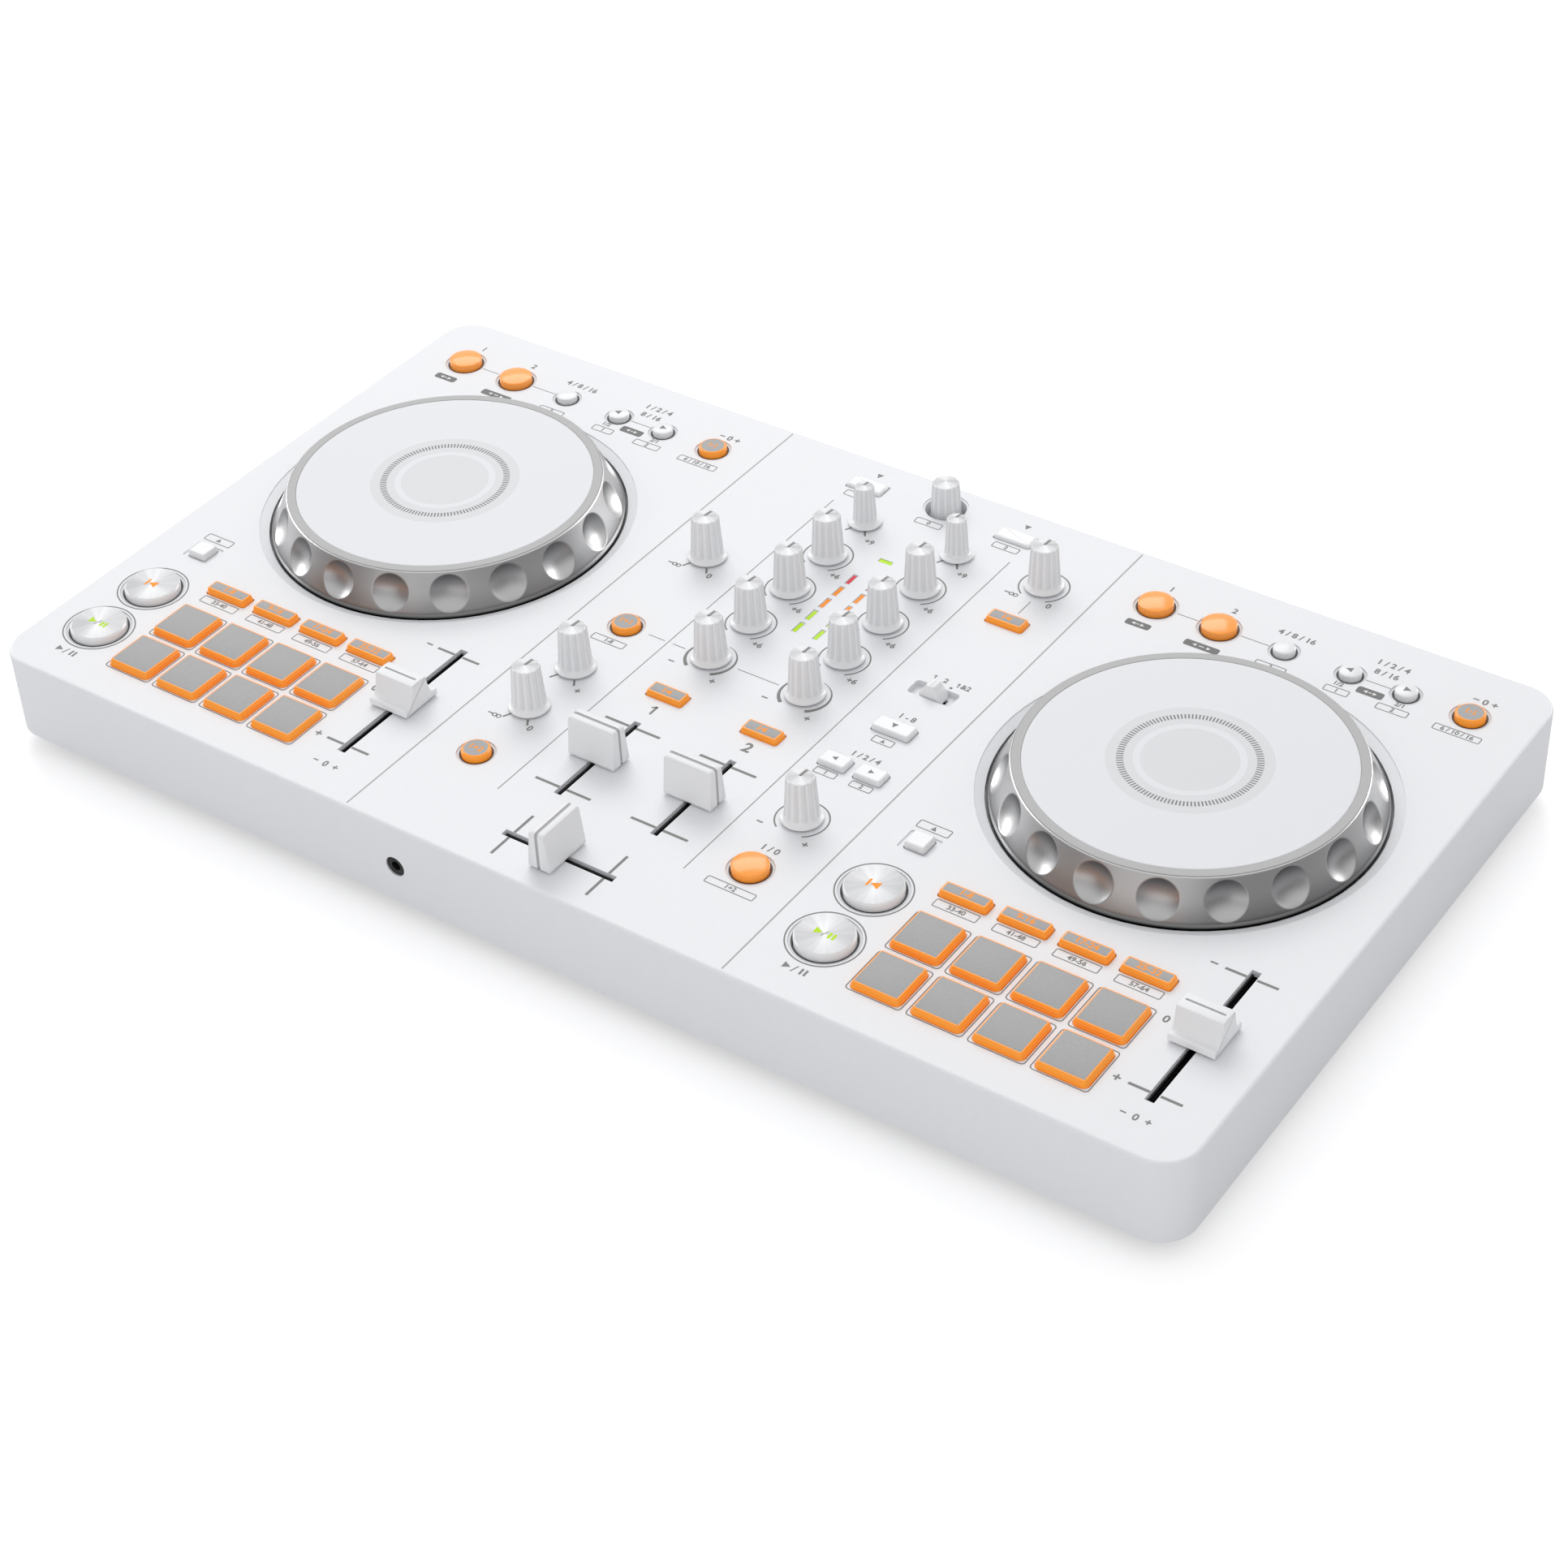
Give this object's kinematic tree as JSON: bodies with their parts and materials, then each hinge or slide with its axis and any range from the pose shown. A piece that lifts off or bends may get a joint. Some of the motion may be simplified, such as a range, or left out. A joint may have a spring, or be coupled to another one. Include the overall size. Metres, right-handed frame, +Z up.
{
  "type": "dj controller",
  "caption": "Flat white two-deck DJ controller with silver-rimmed jog wheels, orange-edged pads, a central mixer with knobs and faders, and sockets front and rear.",
  "frame": {"origin": "centre of the outline, sockets included, at the level that the feet stand on", "axes": "+X to the player's right along the long side, +Y to the rear, +Z up"},
  "size_m": [0.482, 0.2724, 0.0592],
  "materials": {
    "white_shell": "fine-textured moulded plastic",
    "grey_tray": "moulded plastic",
    "foot_rubber": "matt rubber",
    "screw_steel": "blackened steel",
    "circuit_board": "glass-fibre board",
    "component": "moulded plastic",
    "bearing_plastic": "self-lubricating plastic",
    "socket_metal": "plated metal",
    "black_plastic": "moulded plastic",
    "lens": "clear light guide, lit from below",
    "white_knob": "satin moulded plastic",
    "white_cap": "satin moulded plastic",
    "white_key": "satin moulded plastic",
    "orange_key": "translucent orange plastic with a grey printed top",
    "orange_silicone": "translucent orange silicone with grey tops",
    "silver_rim": "plated, finely brushed",
    "jog_white": "satin plate",
    "spun_key": "spun metal"
  },
  "bodies": {
    "chassis": {"upper_case": "white_shell", "base_case": "grey_tray", "rubber_feet": "foot_rubber", "case_screws": "screw_steel", "circuit_boards": "circuit_board", "rotary_pots": "component", "slide_pots": "component", "key_switches": "component", "jog_bearings": "bearing_plastic", "rear_sockets": "socket_metal", "headphone_jack": "black_plastic", "meter_lenses": "lens"},
    "left_jog": {"left_jog_platter": "silver_rim", "left_jog_disc": "jog_white"},
    "right_jog": {"right_jog_platter": "silver_rim", "right_jog_disc": "jog_white"},
    "left_tempo_fader": {"left_tempo_fader": "white_cap"},
    "right_tempo_fader": {"right_tempo_fader": "white_cap"},
    "channel_fader_1": {"channel_fader_1": "white_cap"},
    "channel_fader_2": {"channel_fader_2": "white_cap"},
    "crossfader": {"crossfader": "white_cap"},
    "fx_channel_switch": {"fx_channel_switch": "white_knob"},
    "browse_spindle": {"browse_spindle": "component"},
    "browse_knob": {"browse_knob": "white_knob"},
    "left_play_key": {"left_play_key": "spun_key"},
    "left_pad_mat": {"left_pad_mat": "orange_silicone"},
    "right_play_key": {"right_play_key": "spun_key"},
    "right_pad_mat": {"right_pad_mat": "orange_silicone"},
    "trim_knob_1": {"trim_knob_1": "white_knob"},
    "hi_knob_1": {"hi_knob_1": "white_knob"},
    "mid_knob_1": {"mid_knob_1": "white_knob"},
    "low_knob_1": {"low_knob_1": "white_knob"},
    "filter_knob_1": {"filter_knob_1": "white_knob"},
    "trim_knob_2": {"trim_knob_2": "white_knob"},
    "hi_knob_2": {"hi_knob_2": "white_knob"},
    "mid_knob_2": {"mid_knob_2": "white_knob"},
    "low_knob_2": {"low_knob_2": "white_knob"},
    "filter_knob_2": {"filter_knob_2": "white_knob"},
    "mic_level_knob": {"mic_level_knob": "white_knob"},
    "phones_mix_knob": {"phones_mix_knob": "white_knob"},
    "phones_level_knob": {"phones_level_knob": "white_knob"},
    "master_level_knob": {"master_level_knob": "white_knob"},
    "fx_depth_knob": {"fx_depth_knob": "white_knob"},
    "left_cue_key": {"left_cue_key": "spun_key"},
    "left_shift_key": {"left_shift_key": "white_key"},
    "left_pad_mode_keys": {"left_pad_mode_keys": "orange_key"},
    "left_loop_keys": {"left_loop_keys": "orange_key"},
    "left_sync_key": {"left_sync_key": "orange_key"},
    "right_cue_key": {"right_cue_key": "spun_key"},
    "right_shift_key": {"right_shift_key": "white_key"},
    "right_pad_mode_keys": {"right_pad_mode_keys": "orange_key"},
    "right_loop_keys": {"right_loop_keys": "orange_key"},
    "right_sync_key": {"right_sync_key": "orange_key"},
    "load_keys": {"load_keys": "white_key"},
    "channel_cue_keys": {"channel_cue_keys": "orange_key"},
    "master_cue_key": {"master_cue_key": "orange_key"},
    "smart_filter_key": {"smart_filter_key": "orange_key"},
    "smart_fader_key": {"smart_fader_key": "orange_key"},
    "fx_keys": {"fx_keys": "white_key"},
    "fx_on_key": {"fx_on_key": "orange_key"}
  },
  "joints": [
    {"name": "left_jog_turn", "type": "hinge", "parent": "chassis", "child": "left_jog", "pos_m": [-0.1575, 0.0183, 0.0405], "axis": [0, 0, 1], "continuous": true},
    {"name": "right_jog_turn", "type": "hinge", "parent": "chassis", "child": "right_jog", "pos_m": [0.1575, 0.0183, 0.0405], "axis": [0, 0, 1], "continuous": true},
    {"name": "left_tempo_slide", "type": "slide", "parent": "chassis", "child": "left_tempo_fader", "axis": [0, 1, 0], "range_m": [-0.03, 0.03]},
    {"name": "right_tempo_slide", "type": "slide", "parent": "chassis", "child": "right_tempo_fader", "axis": [0, 1, 0], "range_m": [-0.03, 0.03]},
    {"name": "channel_fader_1_slide", "type": "slide", "parent": "chassis", "child": "channel_fader_1", "axis": [0, 1, 0], "range_m": [-0.0195, 0.0195]},
    {"name": "channel_fader_2_slide", "type": "slide", "parent": "chassis", "child": "channel_fader_2", "axis": [0, 1, 0], "range_m": [-0.0195, 0.0195]},
    {"name": "crossfader_slide", "type": "slide", "parent": "chassis", "child": "crossfader", "axis": [1, 0, 0], "range_m": [-0.0195, 0.0195]},
    {"name": "fx_channel_switch_slide", "type": "slide", "parent": "chassis", "child": "fx_channel_switch", "axis": [1, 0, 0], "range_m": [-0.004, 0.004]},
    {"name": "browse_push", "type": "slide", "parent": "chassis", "child": "browse_spindle", "axis": [0, 0, -1], "range_m": [0, 0.0005], "stiffness_N_per_m": 800},
    {"name": "browse_turn", "type": "hinge", "parent": "browse_spindle", "child": "browse_knob", "pos_m": [0, 0.1173, 0.0405], "axis": [0, 0, 1], "continuous": true},
    {"name": "left_play_key_press", "type": "slide", "parent": "chassis", "child": "left_play_key", "axis": [0, 0, -1], "range_m": [0, 0.001], "stiffness_N_per_m": 500},
    {"name": "left_pad_mat_press", "type": "slide", "parent": "chassis", "child": "left_pad_mat", "axis": [0, 0, -1], "range_m": [0, 0.001], "stiffness_N_per_m": 500},
    {"name": "right_play_key_press", "type": "slide", "parent": "chassis", "child": "right_play_key", "axis": [0, 0, -1], "range_m": [0, 0.001], "stiffness_N_per_m": 500},
    {"name": "right_pad_mat_press", "type": "slide", "parent": "chassis", "child": "right_pad_mat", "axis": [0, 0, -1], "range_m": [0, 0.001], "stiffness_N_per_m": 500},
    {"name": "trim_knob_1_turn", "type": "hinge", "parent": "chassis", "child": "trim_knob_1", "pos_m": [-0.02, 0.0931, 0.0405], "axis": [0, 0, 1], "range_deg": [-150, 150]},
    {"name": "hi_knob_1_turn", "type": "hinge", "parent": "chassis", "child": "hi_knob_1", "pos_m": [-0.02, 0.0686, 0.0405], "axis": [0, 0, 1], "range_deg": [-150, 150]},
    {"name": "mid_knob_1_turn", "type": "hinge", "parent": "chassis", "child": "mid_knob_1", "pos_m": [-0.02, 0.0441, 0.0405], "axis": [0, 0, 1], "range_deg": [-150, 150]},
    {"name": "low_knob_1_turn", "type": "hinge", "parent": "chassis", "child": "low_knob_1", "pos_m": [-0.02, 0.0196, 0.0405], "axis": [0, 0, 1], "range_deg": [-150, 150]},
    {"name": "filter_knob_1_turn", "type": "hinge", "parent": "chassis", "child": "filter_knob_1", "pos_m": [-0.02, -0.0048, 0.0405], "axis": [0, 0, 1], "range_deg": [-150, 150]},
    {"name": "trim_knob_2_turn", "type": "hinge", "parent": "chassis", "child": "trim_knob_2", "pos_m": [0.02, 0.0931, 0.0405], "axis": [0, 0, 1], "range_deg": [-150, 150]},
    {"name": "hi_knob_2_turn", "type": "hinge", "parent": "chassis", "child": "hi_knob_2", "pos_m": [0.02, 0.0686, 0.0405], "axis": [0, 0, 1], "range_deg": [-150, 150]},
    {"name": "mid_knob_2_turn", "type": "hinge", "parent": "chassis", "child": "mid_knob_2", "pos_m": [0.02, 0.0441, 0.0405], "axis": [0, 0, 1], "range_deg": [-150, 150]},
    {"name": "low_knob_2_turn", "type": "hinge", "parent": "chassis", "child": "low_knob_2", "pos_m": [0.02, 0.0196, 0.0405], "axis": [0, 0, 1], "range_deg": [-150, 150]},
    {"name": "filter_knob_2_turn", "type": "hinge", "parent": "chassis", "child": "filter_knob_2", "pos_m": [0.02, -0.0048, 0.0405], "axis": [0, 0, 1], "range_deg": [-150, 150]},
    {"name": "mic_level_knob_turn", "type": "hinge", "parent": "chassis", "child": "mic_level_knob", "pos_m": [-0.057, 0.0447, 0.0405], "axis": [0, 0, 1], "range_deg": [-150, 150]},
    {"name": "phones_mix_knob_turn", "type": "hinge", "parent": "chassis", "child": "phones_mix_knob", "pos_m": [-0.057, -0.0344, 0.0405], "axis": [0, 0, 1], "range_deg": [-150, 150]},
    {"name": "phones_level_knob_turn", "type": "hinge", "parent": "chassis", "child": "phones_level_knob", "pos_m": [-0.057, -0.0607, 0.0405], "axis": [0, 0, 1], "range_deg": [-150, 150]},
    {"name": "master_level_knob_turn", "type": "hinge", "parent": "chassis", "child": "master_level_knob", "pos_m": [0.057, 0.0931, 0.0405], "axis": [0, 0, 1], "range_deg": [-150, 150]},
    {"name": "fx_depth_knob_turn", "type": "hinge", "parent": "chassis", "child": "fx_depth_knob", "pos_m": [0.057, -0.0607, 0.0405], "axis": [0, 0, 1], "range_deg": [-150, 150]},
    {"name": "left_cue_key_press", "type": "slide", "parent": "chassis", "child": "left_cue_key", "axis": [0, 0, -1], "range_m": [0, 0.001], "stiffness_N_per_m": 500},
    {"name": "left_shift_key_press", "type": "slide", "parent": "chassis", "child": "left_shift_key", "axis": [0, 0, -1], "range_m": [0, 0.001], "stiffness_N_per_m": 500},
    {"name": "left_pad_mode_keys_press", "type": "slide", "parent": "chassis", "child": "left_pad_mode_keys", "axis": [0, 0, -1], "range_m": [0, 0.001], "stiffness_N_per_m": 500},
    {"name": "left_loop_keys_press", "type": "slide", "parent": "chassis", "child": "left_loop_keys", "axis": [0, 0, -1], "range_m": [0, 0.001], "stiffness_N_per_m": 500},
    {"name": "left_sync_key_press", "type": "slide", "parent": "chassis", "child": "left_sync_key", "axis": [0, 0, -1], "range_m": [0, 0.001], "stiffness_N_per_m": 500},
    {"name": "right_cue_key_press", "type": "slide", "parent": "chassis", "child": "right_cue_key", "axis": [0, 0, -1], "range_m": [0, 0.001], "stiffness_N_per_m": 500},
    {"name": "right_shift_key_press", "type": "slide", "parent": "chassis", "child": "right_shift_key", "axis": [0, 0, -1], "range_m": [0, 0.001], "stiffness_N_per_m": 500},
    {"name": "right_pad_mode_keys_press", "type": "slide", "parent": "chassis", "child": "right_pad_mode_keys", "axis": [0, 0, -1], "range_m": [0, 0.001], "stiffness_N_per_m": 500},
    {"name": "right_loop_keys_press", "type": "slide", "parent": "chassis", "child": "right_loop_keys", "axis": [0, 0, -1], "range_m": [0, 0.001], "stiffness_N_per_m": 500},
    {"name": "right_sync_key_press", "type": "slide", "parent": "chassis", "child": "right_sync_key", "axis": [0, 0, -1], "range_m": [0, 0.001], "stiffness_N_per_m": 500},
    {"name": "load_keys_press", "type": "slide", "parent": "chassis", "child": "load_keys", "axis": [0, 0, -1], "range_m": [0, 0.001], "stiffness_N_per_m": 500},
    {"name": "channel_cue_keys_press", "type": "slide", "parent": "chassis", "child": "channel_cue_keys", "axis": [0, 0, -1], "range_m": [0, 0.001], "stiffness_N_per_m": 500},
    {"name": "master_cue_key_press", "type": "slide", "parent": "chassis", "child": "master_cue_key", "axis": [0, 0, -1], "range_m": [0, 0.001], "stiffness_N_per_m": 500},
    {"name": "smart_filter_key_press", "type": "slide", "parent": "chassis", "child": "smart_filter_key", "axis": [0, 0, -1], "range_m": [0, 0.001], "stiffness_N_per_m": 500},
    {"name": "smart_fader_key_press", "type": "slide", "parent": "chassis", "child": "smart_fader_key", "axis": [0, 0, -1], "range_m": [0, 0.001], "stiffness_N_per_m": 500},
    {"name": "fx_keys_press", "type": "slide", "parent": "chassis", "child": "fx_keys", "axis": [0, 0, -1], "range_m": [0, 0.001], "stiffness_N_per_m": 500},
    {"name": "fx_on_key_press", "type": "slide", "parent": "chassis", "child": "fx_on_key", "axis": [0, 0, -1], "range_m": [0, 0.001], "stiffness_N_per_m": 500}
  ]
}
